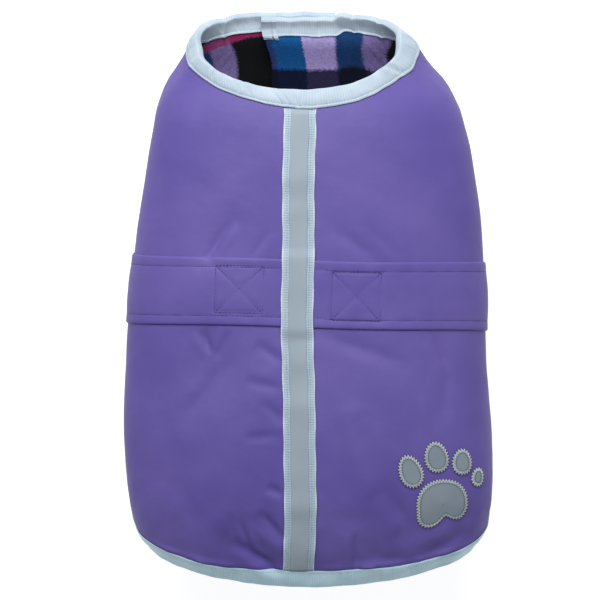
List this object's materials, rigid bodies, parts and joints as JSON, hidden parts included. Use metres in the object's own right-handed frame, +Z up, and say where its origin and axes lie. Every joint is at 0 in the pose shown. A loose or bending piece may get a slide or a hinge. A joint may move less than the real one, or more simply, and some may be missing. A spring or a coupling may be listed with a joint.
{
  "type": "dog winter coat",
  "caption": "Padded-out dog winter coat: nylon shell, plaid fleece lining, bound neck and hem, wrap-round belly band, reflective back tape and paw patch.",
  "frame": {"origin": "point on the lining's inner face at the middle of the back, under the belly band, where the wearer's back carries the coat", "axes": "+X to the wearer's right, +Y towards the neck, +Z up out of the back"},
  "size_m": [0.3048, 0.4744, 0.1204],
  "materials": {
    "nylon_shell": "satin woven nylon",
    "plaid_fleece": "brushed fleece",
    "grosgrain_binding": "ribbed grosgrain",
    "nylon_band": "satin woven nylon",
    "grosgrain_tape": "ribbed grosgrain",
    "reflective_film": "satin reflective film",
    "reflective_patch": "satin reflective film"
  },
  "bodies": {
    "root": {"shell": "nylon_shell", "lining": "plaid_fleece", "neck_binding": "grosgrain_binding", "edge_binding": "grosgrain_binding", "belly_band": "nylon_band", "back_tape": "grosgrain_tape", "reflective_strip": "reflective_film", "paw_toe_1": "reflective_patch", "paw_toe_2": "reflective_patch", "paw_toe_3": "reflective_patch", "paw_toe_4": "reflective_patch", "paw_pad": "reflective_patch"}
  },
  "joints": []
}
